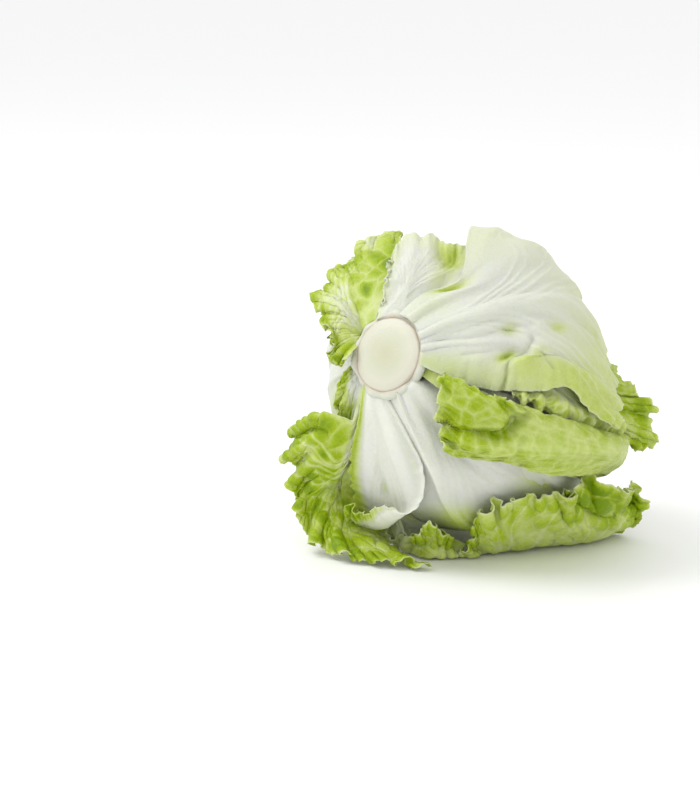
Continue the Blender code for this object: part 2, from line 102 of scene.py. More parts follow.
class Finish:
    """A material made of nodes round one Principled shader."""

    def __init__(self, name, **shader):
        self.material = bpy.data.materials.new(name)
        self.material.use_nodes = True
        self.tree = self.material.node_tree
        self.shader = self.tree.nodes["Principled BSDF"]
        for socket, value in shader.items():
            self.put(self.shader.inputs[socket.replace("_", " ")], value)

    def put(self, socket, value):
        if isinstance(value, Amount):
            value = value.socket
        if isinstance(value, bpy.types.NodeSocket):
            self.tree.links.new(value, socket)
        else:
            socket.default_value = value

    def add(self, kind, settings=None, sockets=None):
        node = self.tree.nodes.new(kind)
        for setting, value in (settings or {}).items():
            if setting == "stops":
                self.stops(node.color_ramp, value)
            else:
                setattr(node, setting, value)
        for socket, value in (sockets or {}).items():
            self.put(node.inputs[socket], value)
        return node

    def stops(self, ramp, stops):
        while len(ramp.elements) < len(stops):
            ramp.elements.new(1.0)
        for element, (place, colour) in zip(ramp.elements, stops):
            element.position = place
            element.color = (*colour, 1.0)

    def place(self):
        return self.add("ShaderNodeTexCoord").outputs["Object"]

    def noise(self, scale, detail=3.0, roughness=0.55):
        sockets = {"Vector": self.place(), "Scale": scale, "Detail": detail, "Roughness": roughness}
        return Amount(self, self.add("ShaderNodeTexNoise", {}, sockets).outputs[0])

    def net(self, scale):
        """A fine net: 0 on its threads and more towards the middle of each mesh."""
        sockets = {"Vector": self.place(), "Scale": scale}
        node = self.add("ShaderNodeTexVoronoi", dict(feature="DISTANCE_TO_EDGE"), sockets)
        return Amount(self, node.outputs["Distance"])

    def attribute(self, name):
        return Amount(self, self.add("ShaderNodeAttribute", dict(attribute_name=name)).outputs["Fac"])

    def mix(self, share, first, second):
        node = self.add("ShaderNodeMix", dict(data_type="RGBA"), {0: share, 6: first, 7: second})
        return node.outputs[2]

    def ramp(self, amount, stops):
        return self.add("ShaderNodeValToRGB", dict(stops=stops), {"Fac": amount}).outputs["Color"]

    def bump(self, height, distance, under=None):
        sockets = {"Height": height, "Distance": distance, "Strength": 1.0}
        if under:
            sockets["Normal"] = under
        return self.add("ShaderNodeBump", {}, sockets).outputs["Normal"]


def start_clean():
    bpy.ops.object.select_all(action="DESELECT")


start_clean()
bpy.ops.mesh.primitive_cylinder_add(vertices=96, radius=STEM_RADIUS, depth=STEM_LENGTH)
stem = bpy.context.object
stem.name = "cut_stem"
bpy.ops.object.mode_set(mode="EDIT")
bpy.ops.mesh.select_all(action="DESELECT")
bpy.ops.object.mode_set(mode="OBJECT")
for face in stem.data.polygons:
    face.select = face.normal.z > 0.9
bpy.ops.object.mode_set(mode="EDIT")
for ring in (1.2, 2.5, 3, 3, 3, 3):
    bpy.ops.mesh.inset(thickness=ring * MM)
bpy.ops.object.mode_set(mode="OBJECT")
flat = np.empty(len(stem.data.vertices) * 3)
stem.data.vertices.foreach_get("co", flat)
flat = flat.reshape(-1, 3)
turn = np.arctan2(flat[:, 1], flat[:, 0])
out = np.hypot(flat[:, 0], flat[:, 1]) / STEM_RADIUS
worn = 0.35 * np.sin(3 * turn + 0.6) + 0.25 * np.sin(5 * turn + 2.1) + 0.15 * np.sin(9 * turn)
flat[:, :2] *= (1 + 0.02 * worn * out ** 2)[:, None]
top = flat[:, 2] > 0
flat[:, 2] += np.where(top, (0.5 * np.cos(out * 2.2) - 1.1 * out ** 8 + 0.2 * worn * out) * MM, 0)
stem.data.vertices.foreach_set("co", flat.ravel())
rim = stem.modifiers.new("Rim", "BEVEL")
rim.width = 0.9 * MM
rim.segments = 3
rim.limit_method = "ANGLE"
bpy.ops.object.modifier_apply(modifier=rim.name)
start_clean()
bpy.ops.mesh.primitive_torus_add(major_radius=COLLAR_RADIUS, minor_radius=COLLAR_THICKNESS,
                                 major_segments=120, minor_segments=20,
                                 location=(0, 0, STEM_LENGTH / 2 - COLLAR_DEPTH))
collar = bpy.context.object
flat = np.empty(len(collar.data.vertices) * 3)
collar.data.vertices.foreach_get("co", flat)
flat = flat.reshape(-1, 3)
turn = np.arctan2(flat[:, 1], flat[:, 0])
worn = np.sin(4 * turn + 1) + 0.7 * np.sin(7 * turn + 2.5) + 0.5 * np.sin(13 * turn)
flat[:, :2] *= (1 + 0.02 * worn)[:, None]
flat[:, 2] += 0.6 * MM * worn
collar.data.vertices.foreach_set("co", flat.ravel())
stem.select_set(True)
bpy.context.view_layer.objects.active = stem
bpy.ops.object.join()
stem.data.shade_smooth()
stem.rotation_euler = (math.pi / 2 - STEM_TILT, 0, 0)
stem.location = CENTRE + STEMWARD * (STEM_TIP - STEM_LENGTH / 2)
bpy.ops.object.transform_apply(location=True, rotation=True, scale=True)

cut = Finish("cut stem", Roughness=0.42, Subsurface_Weight=0.3, Subsurface_Scale=0.004)
cut.put(cut.shader.inputs["Subsurface Radius"], (1.0, 0.9, 0.5))
cut_middle = CENTRE + STEMWARD * STEM_TIP
spread = cut.add("ShaderNodeVectorMath", dict(operation="DISTANCE"), {0: cut.place(), 1: tuple(cut_middle)})
reach = Amount(cut, spread.outputs["Value"]) * (0.8 / STEM_RADIUS) + (cut.noise(90) - 0.5) * 0.2
flesh = cut.ramp(reach, [(0.0, (0.52, 0.52, 0.36)), (0.35, (0.55, 0.56, 0.42)),
                         (0.6, (0.60, 0.60, 0.49)), (0.76, (0.60, 0.58, 0.48)),
                         (0.81, (0.55, 0.48, 0.37)), (0.87, (0.57, 0.59, 0.50))])
cut.put(cut.shader.inputs["Base Color"], flesh)
grain = cut.noise(900, detail=4) * 0.6 + cut.noise(160) * 0.8
cut.put(cut.shader.inputs["Normal"], cut.bump(grain, 0.25 * MM))
stem.data.materials.append(cut.material)
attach(stem, "root")
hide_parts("stem")

# The leaf over the crown
# The innermost of the leaves that show: a wide blade pressed flat against the heart, whose edge comes free
# at the right and stands out in ruffles.
BALL_RADIUS = 74 * MM
FLAT_DEPTH = 9 * MM
FLAT_POLAR = 118
FLAT_AZIMUTH = 50
FLAT_SPREAD = 34
EDGE_THICKNESS = 0.9 * MM
FLAT_SPOT = 22 * MM
CLEARANCE = 0.8 * MM


def direction(polar, azimuth):
    """Unit vectors from the ball's middle: polar angle from the stem, azimuth round it from the top."""
    across = np.cos(azimuth)[..., None] * UPWARD + np.sin(azimuth)[..., None] * SIDEWARD
    return np.cos(polar)[..., None] * STEMWARD + np.sin(polar)[..., None] * across


def place_on_ball(unit, height):
    """Points at a height above the ball, which is round but for one flatter side."""
    unit = unit / np.linalg.norm(unit, axis=-1, keepdims=True)
    flat_side = direction(np.radians([FLAT_POLAR]), np.radians([FLAT_AZIMUTH]))[0]
    away = np.degrees(np.arccos(np.clip(unit @ flat_side, -1, 1)))
    radius = BALL_RADIUS - FLAT_DEPTH * np.exp(-(away / FLAT_SPREAD) ** 2)
    return CENTRE + unit * (radius + height)[..., None]


def curve(values, place):
    """A smooth curve through values that stand at 0, 1, 2 and so on.

    A table of places has one curve a column.
    """
    values = np.asarray(values, float)
    if len(values) == 1:
        values = np.repeat(values, 2, axis=0)
        place = place * 0
    low = np.clip(place.astype(int), 0, len(values) - 2)
    padded = np.concatenate([2 * values[:1] - values[1:2], values, 2 * values[-1:] - values[-2:-1]])
    if place.ndim == 2:
        columns = np.arange(place.shape[1])
        a, b, c, d = (padded[low + i, columns] for i in range(4))
    else:
        a, b, c, d = (padded[low + i] for i in range(4))
    x = (place - low).reshape(place.shape + (1,) * (a.ndim - place.ndim))
    return b + 0.5 * x * (c - a + x * (2 * a - 5 * b + 4 * c - d + x * (3 * (b - c) + d - a)))


def lowest(points):
    """How low a leaf may come at each point: flat in the middle, and clear of the surface outside."""
    out = np.hypot(points[..., 0], points[..., 1])
    return EDGE_THICKNESS + np.clip(0.1 * (out - FLAT_SPOT), 0, CLEARANCE)


def above_ground(points):
    """Points held above the surface, with a smooth turn where the leaf comes down on it."""
    soft = 1.5 * MM
    ground = lowest(points)
    height = points[..., 2] - ground
    turn = (height + soft) ** 2 / (4 * soft)
    held = np.where(height > soft, height, np.where(height < -soft, 0, turn))
    return np.concatenate([points[..., :2], (held + ground)[..., None]], axis=-1)


def not_under(points):
    """Points held above the surface without a turn, for a leaf that already lies on it."""
    return np.concatenate([points[..., :2], np.maximum(points[..., 2], lowest(points))[..., None]], axis=-1)


def facing(points):
    """The leaf's outward direction and its sideways one at each point."""
    across = np.gradient(points, axis=1)
    normal = np.cross(across, np.gradient(points, axis=0))
    normal /= np.linalg.norm(normal, axis=-1, keepdims=True) + 1e-12
    across /= np.linalg.norm(across, axis=-1, keepdims=True) + 1e-12
    return normal, across


def walked(points, axis):
    """How far it is along the leaf to each point, in millimetres: along columns (axis 0) or rows (axis 1)."""
    steps = np.linalg.norm(np.diff(points, axis=axis), axis=-1) / MM
    start = np.zeros_like(np.take(steps, [0], axis=axis))
    return np.concatenate([start, np.cumsum(steps, axis=axis)], axis=axis)


def blisters(points, size, seed):
    """How far inside its own blister each point is: 0 in the creases, near 1 in the middle."""
    draw = np.random.default_rng(seed).random((32, 32, 32, 3))
    place = points / (size * MM)
    home = np.floor(place).astype(int)
    nearest = np.full(place.shape[:-1], 9.0)
    second = nearest.copy()
    for step in np.ndindex(3, 3, 3):
        cell = home + np.array(step) - 1
        inside = draw[cell[..., 0] % 32, cell[..., 1] % 32, cell[..., 2] % 32]
        gap = np.linalg.norm(cell + inside - place, axis=-1)
        second = np.minimum(second, np.maximum(nearest, gap))
        nearest = np.minimum(nearest, gap)
    return 1 - np.exp(-3.5 * (second - nearest))


def fade(amount, low, high):
    x = np.clip((amount - low) / (high - low), 0, 1)
    return x * x * (3 - 2 * x)


def vein_lines(side, along, half_width, count, seed, narrow=0.5, wide=2.0):
    """The veins that leave the midrib and fan out to the edge: 1 along each, 0 away from them."""
    draw = np.random.default_rng(seed)
    lines = np.zeros_like(side)
    for index in range(-count, count + 1):
        end = (index + draw.uniform(-0.3, 0.3)) / count
        leaves_at = 0.7 * (1 - min(1, abs(end))) ** 1.4
        gone = np.clip((along - leaves_at) / (1 - leaves_at), 0, 1)
        path = end * gone ** 1.25 + 0.02 * np.sin(8 * along + draw.uniform(0, 6))
        width = wide + (narrow - wide) * gone ** 0.6
        apart = (side - path) * half_width / width
        lines = np.maximum(lines, np.exp(-apart ** 2) * fade(along, leaves_at - 0.05, leaves_at + 0.05))
    return lines


def leaf(name, node, finish, ribs, columns=200, rows=120, hidden=0.0, frill=(3,), waves=6, reach=3,
         skew=0.3, ripple=0.15, lobes=0.06, ridges=(), bumps=(), seed=1, base=2.2, crimp=1.0, crimp_pitch=9,
         crimp_depth=12, side_crimp=(0, 0), lace=1.2, lace_pitch=4, blister=0.6, blister_size=9,
         blister_from=0.3, folds=(), vein_count=7, vein_height=0.5, vein_pale=1.0, midrib=(0, 5),
         green=(0, 0.6, 0.3, 1.0), side_green=(0, 0), spots=()):
    """A leaf, from its ribs to its finished mesh. Heights, widths and pitches are in millimetres.

    A rib is a row of stations from the stem to the edge. Each holds a polar angle, an azimuth and a height
    above the ball. On the blade, side runs from -1 to 1 across it, and along from 0 at the stem to 1 at the
    edge.
    """
    draw = np.random.default_rng(seed)
    phase = draw.uniform(0, 2 * math.pi, 8)
    line = np.linspace(0, 1, rows + 1)
    line = np.interp(line, (0, 0.15, 1), (0, hidden, 1)) if hidden else 1 - (1 - line) ** 1.3
    side, along = np.meshgrid(np.linspace(-1, 1, columns + 1), line)

    # The blade as its ribs give it.
    stations = np.array(ribs, float)
    unit = direction(np.radians(stations[..., 0]), np.radians(stations[..., 1]))
    net = np.concatenate([unit, stations[..., 2:] * MM], axis=-1)
    net = curve(net, (side[0] + 1) / 2 * (len(ribs) - 1)).swapaxes(0, 1)
    count = math.pi * waves * side
    short = lobes * (1.5 + np.sin(0.7 * count + phase[3]) + 0.5 * np.sin(1.6 * count + phase[4]))
    last = stations.shape[1] - 1
    rough = curve(net, along * last)
    plain = place_on_ball(rough[..., :3], rough[..., 3])
    length = walked(plain, 0)
    width = walked(plain, 1)
    half_width = width[:, -1:] / 2
    rim = width[-1]
    uneven = 2 * np.sin(rim / lace_pitch * 0.9 + phase[2])
    teeth = 0.5 + 0.5 * np.sin(2 * math.pi * rim / lace_pitch + uneven)
    bites = 0.5 + 0.5 * np.sin(2 * math.pi * rim / (lace_pitch * 3.3) + phase[7])
    notch = lace * (0.5 * teeth ** 2 + 0.6 * bites) / np.maximum(length[-1], 1)
    net = curve(net, along * (1 - short / last) * (1 - notch * along) * last)
    height = net[..., 3]
    for at_side, ridge_height, ridge_width, end in ridges:
        ridge = np.exp(-((side - at_side) / (ridge_width * (0.35 + along))) ** 2)
        height = height + ridge_height * MM * ridge * np.clip(1 - along / end, 0, 1) ** 0.7
    for at_side, at_along, wide, deep, bump_height in bumps:
        hump = np.exp(-((side - at_side) / wide) ** 2 - ((along - at_along) / deep) ** 2)
        height = height + bump_height * MM * hump
    for path, fold_depth, fold_width in folds:
        path = curve(path, np.linspace(0, len(path) - 1, 50))
        apart = np.full(side.shape, 999.0)
        for fold_side, fold_along in path:
            across_it = (side - fold_side) * half_width
            down_it = (along - fold_along) * length[-1].mean()
            apart = np.minimum(apart, np.hypot(across_it, down_it))
        height = height - fold_depth * MM * np.exp(-(apart / fold_width) ** 2)
    points = above_ground(place_on_ball(net[..., :3], height))

    # The edge is longer than the leaf it borders, so it swings to both sides in waves.
    edge = np.maximum(along ** reach, np.abs(side) ** 7 * along ** 0.8)
    edge = np.clip(1.05 * edge - 0.05, 0, 1)
    size = curve(np.array(frill, float)[:, None], (side[0] + 1) / 2 * (len(frill) - 1))[:, 0] * MM * edge
    beat = count + 0.7 * np.sin(0.37 * count + phase[1])
    strong = 1 + 0.3 * np.sin(0.57 * count + phase[6])
    swing = (strong * np.sin(beat + phase[0]) + ripple * edge * np.sin(2.3 * beat + phase[2])) * size
    slide = strong * np.cos(beat + phase[0]) * size * skew
    normal, across = facing(points)
    points = not_under(points + normal * swing[..., None] + across * slide[..., None])

    # Smaller waves ride on the large ones, along the tip's edge and along both sides.
    length = walked(points, 0)
    width = walked(points, 1)
    to_tip = length[-1] - length
    to_left = width
    to_right = width[:, -1:] - width
    for share, part in ((1.0, 1.0), (0.35, 0.38)):
        pitch = crimp_pitch * part
        depth = crimp_depth * (0.35 + 0.65 * part)
        turns = 2 * math.pi * width[-1] / pitch
        turns = turns + 1.3 * np.sin(turns * 0.31 + phase[5])
        moved = crimp * share * (1 + 0.5 * np.sin(turns * 0.23)) * np.sin(turns) * np.exp(-to_tip / depth)
        moved = moved + 0 * side
        for amount, distance in zip(side_crimp, (to_left, to_right)):
            turns = 2 * math.pi * length / pitch
            turns = turns + 1.3 * np.sin(turns * 0.37 + phase[4])
            near = np.exp(-distance / depth) * fade(along, 0.1, 0.35)
            moved = moved + amount * share * np.sin(turns) * near
        normal, across = facing(points)
        points = not_under(points + normal * moved[..., None] * MM)

    # Veins stand up a little and the blade between them swells in blisters.
    vein = vein_lines(side, along, half_width, vein_count, seed + 100)
    fine_vein = vein_lines(side, along, half_width, vein_count * 3, seed + 200, narrow=0.35, wide=0.8)
    rib_at, rib_width = midrib
    rib = np.exp(-((side - rib_at) * half_width / (rib_width * (1.15 - along))) ** 2)
    rib = rib * fade(1 - along, 0.05, 0.5)
    swell = blisters(plain, blister_size, seed)
    swelling = blister * fade(along, blister_from, 0.95) * (1 - 0.6 * vein)
    swelling = swelling * (1 - 0.6 * np.exp(-(length[-1] - length) / 4))
    relief = swell * swelling + vein_height * (vein * (1 - 0.6 * along) + 0.3 * fine_vein * (1 - along))
    relief = relief * fade(along, 0.0, 0.12)
    normal, across = facing(points)
    points = not_under(points + normal * relief[..., None] * MM)

    # Where the blade is green: from its rib part to its edge, at its sides, and in spots. Some spots are
    # painted shade, greener colour laid into dents, creases and pockets. A greenness below 0 gives the
    # lightest white, which is painted light.
    first, last_green, from_along, to_along = green
    greenness = first + (last_green - first) * fade(along, from_along, to_along)
    greenness = greenness + side_green[0] * fade(-side, 0.4, 1) + side_green[1] * fade(side, 0.4, 1)
    for at_side, at_along, wide, deep, amount in spots:
        spot = np.exp(-((side - at_side) / wide) ** 2 - ((along - at_along) / deep) ** 2)
        greenness = greenness + amount * spot
    crease_share = 0.75 * blister / (blister + 0.6)
    greenness = greenness * (1 - 0.45 * vein_pale * vein * (1 - 0.5 * along))
    greenness = greenness * (1.1 - crease_share * (1 - swell))
    to_edge = np.minimum(np.minimum(to_tip, to_left), to_right)
    greenness = greenness * (1 - 0.6 * np.exp(-to_edge / 0.9))

    start_clean()
    bpy.ops.mesh.primitive_grid_add(x_subdivisions=columns, y_subdivisions=rows, size=2)
    blade = bpy.context.object
    blade.name = name
    flat = np.empty(len(blade.data.vertices) * 3)
    blade.data.vertices.foreach_get("co", flat)
    column = np.rint((flat[0::3] + 1) / 2 * columns).astype(int)
    row = np.rint((flat[1::3] + 1) / 2 * rows).astype(int)
    blade.data.vertices.foreach_set("co", points[row, column].ravel())
    pale_vein = vein_pale * np.maximum(vein, 0.5 * fine_vein)
    for label, values in (("green", greenness), ("vein", pale_vein)):
        layer = blade.data.attributes.new(label, "FLOAT", "POINT")
        layer.data.foreach_set("value", values[row, column].astype(np.float32))
    thick = blade.vertex_groups.new(name="thick")
    share = (rib + 0.4 * vein) * (1 - along) + np.clip(1 - along / 0.35, 0, 1) ** 1.2
    for index, weight in enumerate(np.clip(share[row, column], 0, 1)):
        thick.add([index], weight, "REPLACE")
    wall = blade.modifiers.new("Blade", "SOLIDIFY")
    wall.thickness = base * MM
    wall.thickness_vertex_group = 0.5 / base
    wall.vertex_group = thick.name
    wall.offset = 1
    bpy.ops.object.modifier_apply(modifier=wall.name)

    # The wall under the blade doesn't go through the surface either.
    flat = np.empty(len(blade.data.vertices) * 3)
    blade.data.vertices.foreach_get("co", flat)
    flat[2::3] = np.maximum(flat[2::3], 0.02 * MM)
    blade.data.vertices.foreach_set("co", flat)
    blade.data.shade_smooth()
    blade.data.materials.append(finish.material)
    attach(blade, "root")
    if node:
        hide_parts(node)
    return blade


# The lightest white is painted light. The ramp reaches it only where greenness is below 0, as on the side and
# spoon leaves, which then look more brightly lit than the lamps make them.
PAINTED_LIGHT_WHITE = (0.74, 0.75, 0.67)
WHITE = (0.61, 0.63, 0.55)
PALE = (0.50, 0.58, 0.19)
GREEN = (0.30, 0.41, 0.008)
DEEP = (0.16, 0.26, 0.001)


def leaf_finish(name):
    """Waxy leaf: pale along its veins, greener in each blister, with a fine net of veins pressed into it."""
    finish = Finish(name, Roughness=0.4, Specular_IOR_Level=0.2, Subsurface_Weight=0.3,
                    Subsurface_Scale=0.003)
    finish.put(finish.shader.inputs["Subsurface Radius"], (0.9, 1.0, 0.3))
    cloud = finish.noise(45, detail=4) - 0.5
    fine_net = finish.net(260)
    thread = 1 - (fine_net * 9).held()
    amount = finish.attribute("green")
    tone = amount * (1 + 0.5 * cloud) - thread * 0.14 * amount - finish.attribute("vein") * 0.2 * amount
    stops = [(0.0, PAINTED_LIGHT_WHITE), (0.1, WHITE), (0.4, PALE), (0.71, GREEN), (1.0, DEEP)]
    colour = finish.ramp(tone * 0.9 + 0.1, stops)
    finish.put(finish.shader.inputs["Base Color"], colour)
    soft_net = (finish.net(120) * 3).held()
    relief = soft_net * 0.5 * (amount + 0.2) - thread * 0.25 + finish.noise(500, detail=2) * 0.2
    finish.put(finish.shader.inputs["Normal"], finish.bump(relief, 0.35 * MM))
    return finish


white_leaf = leaf_finish("white leaf")
pale_leaf = leaf_finish("pale leaf")
green_leaf = leaf_finish("green leaf")

leaf("crown_leaf", "leaf_crown", pale_leaf, (
    ((60, 322, -0.6), (90, 320, -0.6), (120, 318, -0.6), (150, 310, -0.6)),
    ((58, 350, -0.6), (90, 350, -0.6), (122, 350, -0.6), (158, 350, -0.6)),
    ((55, 18, -0.6), (88, 18, -0.6), (120, 20, -0.5), (160, 30, 0)),
    ((52, 45, -0.6), (82, 46, -0.6), (110, 48, -0.5), (145, 56, 2)),
    ((54, 66, -0.6), (80, 68, -0.4), (108, 70, 0.2), (124, 71, 11)),
    ((60, 79, -0.6), (86, 80, -0.2), (112, 81, 0.8), (124, 80, 22)),
    ((66, 88, -0.6), (90, 88, -0.2), (114, 88, 1), (127, 87, 30)),
    ((74, 94, -0.6), (95, 93, 0), (117, 95, 2), (130, 98, 30)),
    ((80, 97, -0.6), (98, 96, 0), (119, 97, 3), (128, 103, 24)),
), columns=220, rows=54, frill=(0.3, 0.3, 0.5, 1, 2, 3, 3, 3, 2), waves=8, seed=37, base=1.1, crimp=1.8,
     crimp_pitch=10, side_crimp=(0, 1.5), green=(0.15, 0.8, 0.4, 1.0), blister=1.2,
     spots=((0.75, 0.85, 0.1, 0.08, -0.3), (0.45, 0.85, 0.1, 0.08, 0.2)))

# The heart
# The tight inner leaves, pale and pressed into one ball. Other leaves cover it nearly all round. Where they
# leave it bare, the two outermost of its own leaves show, lying close on it.
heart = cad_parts["heart"]
for material_slot in heart.material_slots:
    material_slot.material = pale_leaf.material
leaf("inner_leaf_below", None, pale_leaf, (
    ((55, 72, 0), (85, 74, 0.2), (112, 70, 0.3), (138, 48, 0.6), (160, 5, 0.8)),
    ((55, 95, 0), (90, 98, 0.2), (125, 98, 0.4), (156, 85, 0.6), (168, 330, 0.8)),
    ((55, 120, 0), (92, 124, 0.2), (130, 128, 0.4), (168, 130, 0.6), (160, 290, 0.8)),
    ((55, 148, 0), (90, 152, 0.2), (125, 158, 0.4), (160, 175, 0.6), (160, 250, 0.8)),
    ((55, 175, 0), (85, 178, 0.2), (115, 184, 0.3), (140, 200, 0.6), (152, 235, 0.8)),
), columns=120, rows=90, frill=(0.8,), waves=6, seed=43, base=1, crimp=0.8, vein_height=0.9, blister=1.2,
     blister_from=0.0, ridges=((0, 2, 0.12, 1.1), (-0.5, 1, 0.1, 1.0)), green=(0.1, 0.75, 0.35, 1.0))
leaf("inner_leaf_above", None, white_leaf, (
    ((50, 296, -2.5), (75, 302, 0.3), (100, 312, 0.4), (125, 325, 0.6)),
    ((54, 322, -2.5), (80, 326, 0.3), (110, 332, 0.4), (145, 342, 0.8)),
    ((62, 345, -2.5), (85, 346, 0.3), (115, 350, 0.4), (150, 355, 0.8)),
    ((62, 8, -2.5), (82, 6, 0.3), (105, 8, 0.4), (130, 10, 0.6)),
), columns=90, rows=60, frill=(0.8,), waves=5, seed=47, base=1, crimp=0.8, vein_height=0.8, blister=0.9,
     blister_from=0.0, ridges=((0, 1.5, 0.12, 1.1),), green=(0.05, 0.7, 0.3, 1.0))

# The far wrapper leaf
# A white leaf wrapped round the side away from the light, with one strong rib.
leaf("back_leaf", "leaf_back", white_leaf, (
    ((16, 232, 1), (50, 228, 2), (85, 224, 2.2), (118, 214, 2.5), (146, 200, 3.5)),
    ((16, 252, 1), (50, 252, 2), (90, 252, 2.5), (130, 248, 3), (165, 230, 4)),
    ((16, 270, 1), (50, 272, 2), (90, 277, 2.5), (130, 285, 3), (168, 320, 4)),
    ((16, 288, 1), (50, 292, 2), (88, 299, 2.5), (120, 312, 3), (148, 345, 4)),
    ((16, 306, 1), (46, 312, 2), (78, 319, 2.5), (106, 331, 3), (128, 353, 4)),
), columns=130, rows=90, frill=(1.5,), waves=7, seed=31, base=1.6, lace=1.5, crimp=1.5,
     side_crimp=(1.2, 1.2), ridges=((0, 2.5, 0.12, 1.1), (-0.5, 1.2, 0.1, 1.0), (0.5, 1.2, 0.1, 1.0)),
     vein_height=0.9, green=(0.0, 0.75, 0.3, 1.0), side_green=(0.35, 0.35), blister=1.2, blister_from=0.1)

# The near side leaf
# A big white leaf down the near side. Its midrib is the thickest of all and spreads in a fan from the stem.
# Its greenness starts below 0, so its white is the lightest white: painted light. Two of its spots are
# painted shade: greener colour along the crease near the stem, and on the right where the folded leaf's edge
# shades it.
leaf("side_leaf", "leaf_side", white_leaf, (
    ((15, 170, 6), (28, 176, 3), (45, 179, 2.5), (65, 184, 3), (92, 190, 3.5), (118, 192, 3),
     (140, 194, 3)),
    ((14.5, 159, 8), (29, 158, 6.2), (46, 160, 6.2), (66, 166, 5.5), (96, 174, 3.5), (124, 178, 3),
     (150, 182, 3)),
    ((14.5, 147, 9), (30, 150, 7), (46, 152, 7.5), (66, 158, 6), (98, 160, 3.5), (128, 163, 3),
     (155, 170, 3)),
    ((14.5, 133, 9), (32, 138, 3.5), (56, 142, 3), (76, 146, 3), (100, 146, 3), (128, 146, 3),
     (155, 146, 3)),
    ((14.5, 121, 8), (34, 125, 2.5), (60, 125, 2), (82, 130, 2.5), (104, 132, 3), (128, 130, 3),
     (152, 126, 3)),
    ((15.5, 114, 1.5), (34, 112, 1.5), (60, 108, 1.5), (80, 112, 1.5), (104, 116, 2), (126, 114, 2.5),
     (146, 108, 3)),
    ((16, 103, 1), (34, 98, 1.5), (60, 97, 1.5), (80, 100, 1.5), (104, 107, 1.5), (124, 108, 2),
     (140, 102, 2)),
), columns=130, rows=80, frill=(0.5, 0.8), waves=5, seed=17, green=(-0.08, 0.3, 0.3, 1.0), blister=0.25,
     side_green=(0, 0.15), crimp=0.6, midrib=(-0.4, 7), ridges=((-0.42, 2, 0.16, 1.2),),
     spots=((-0.4, 0.57, 0.35, 0.08, 0.6), (0.5, 0.5, 0.25, 0.1, 0.5), (0.0, 0.2, 0.1, 0.12, 0.12)),
     folds=(([(0.0, 0.12), (0.05, 0.24), (0.15, 0.36)], 1.2, 3),))

# The folded leaf
# A green leaf that comes out at the right under the big white one, turns over and comes back towards the
# stem, so that its inner face shows, crossed by fine veins, with a ruffled tip.
leaf("folded_leaf", "leaf_folded", pale_leaf, (
    ((15.5, 98, 4.5), (50, 100, 4), (85, 99, 4.5), (109, 98, 5.5), (119, 98, 10), (97, 98, 12.5),
     (78, 98, 13), (66, 98.5, 13.5), (54, 99, 14), (45, 99, 14), (38, 99, 14), (30, 97, 14.5),
     (22, 97, 14)),
    ((15.5, 100, 4.5), (50, 102, 4), (85, 101, 5), (112, 100, 6), (121, 99, 13), (99, 99, 16),
     (79, 100, 17), (66, 101, 17), (54, 102, 17), (45, 103.5, 17.5), (37, 104.5, 18), (29, 105.5, 17.5),
     (23, 106, 16)),
    ((15.5, 102, 4.5), (50, 104, 4), (85, 103, 5), (114, 103, 6), (122, 101, 14), (100, 101, 16),
     (80, 103, 17.5), (66, 105, 17.5), (56, 107, 15), (49, 112, 13), (41, 115, 13), (34, 117, 14.5),
     (26, 117, 16)),
    ((15.5, 104, 4.5), (50, 106, 4), (86, 106, 5), (114, 106, 6), (123, 104, 15), (102, 104, 16),
     (82, 106, 17.5), (67, 109, 18), (57, 113, 17), (50, 118, 15.5), (43, 121, 15), (36, 124, 15),
     (28, 124, 16)),
    ((15.5, 106, 4.5), (50, 109, 4), (86, 110, 5), (113, 109, 6), (122, 108, 15), (103, 108, 15),
     (83, 109, 16), (69, 112, 17), (59, 116, 17), (51, 121, 16), (45, 127, 15), (39, 130, 15),
     (32, 130, 16)),
    ((15.5, 108, 4.5), (50, 112, 4), (84, 114, 5), (109, 112, 6), (119, 111, 13), (103, 111, 13),
     (85, 113, 14.5), (71, 116, 15), (60, 119, 15), (52, 124, 14.5), (46, 129, 14), (41, 133, 14.5),
     (36, 134, 15)),
    ((15.5, 110, 4.5), (48, 115, 4), (80, 119, 5), (100, 118, 6), (113, 115, 11), (100, 114, 11.5),
     (85, 117, 12), (72, 121, 13), (61, 123, 13), (53, 127, 13), (47, 132, 13), (43, 136, 14),
     (39, 138, 14)),
), columns=120, rows=150, hidden=0.36, frill=(2, 2, 3, 3, 2), waves=3, reach=8, seed=23, crimp=1.8,
     crimp_pitch=11, lace=1.2, side_crimp=(0.8, 0.6), green=(0.57, 0.8, 0.6, 1.0), blister=0.8,
     blister_from=0.2,
     # The second, third, fourth and last spots lie along the creases: painted shade, a darker green in the
     # folds.
     spots=((-0.73, 0.97, 0.15, 0.03, 0.4), (0.0, 0.9, 0.1, 0.05, 0.25), (-0.35, 0.74, 0.2, 0.02, 0.35),
            (-0.7, 0.76, 0.15, 0.02, 0.3), (0.5, 0.6, 0.4, 0.06, 0.08), (-0.1, 0.8, 0.06, 0.05, 0.35)),
     vein_height=0.3, vein_count=4, vein_pale=0.35,
     folds=(([(0.15, 1.0), (0.02, 0.88), (-0.15, 0.77), (-0.35, 0.72), (-0.55, 0.68)], 7, 2.4),
            ([(-1.0, 0.78), (-0.7, 0.75), (-0.5, 0.71)], 3.5, 2.5),
            ([(0.2, 0.89), (0.37, 0.74), (0.21, 0.63), (-0.12, 0.53), (-0.21, 0.45)], -4, 8),
            ([(-0.6, 0.94), (-0.56, 0.88), (-0.56, 0.82), (-0.45, 0.76)], -3, 5),
            ([(0.8, 0.66), (0.55, 0.7), (0.1, 0.69), (-0.1, 0.68)], 2, 2.5)))

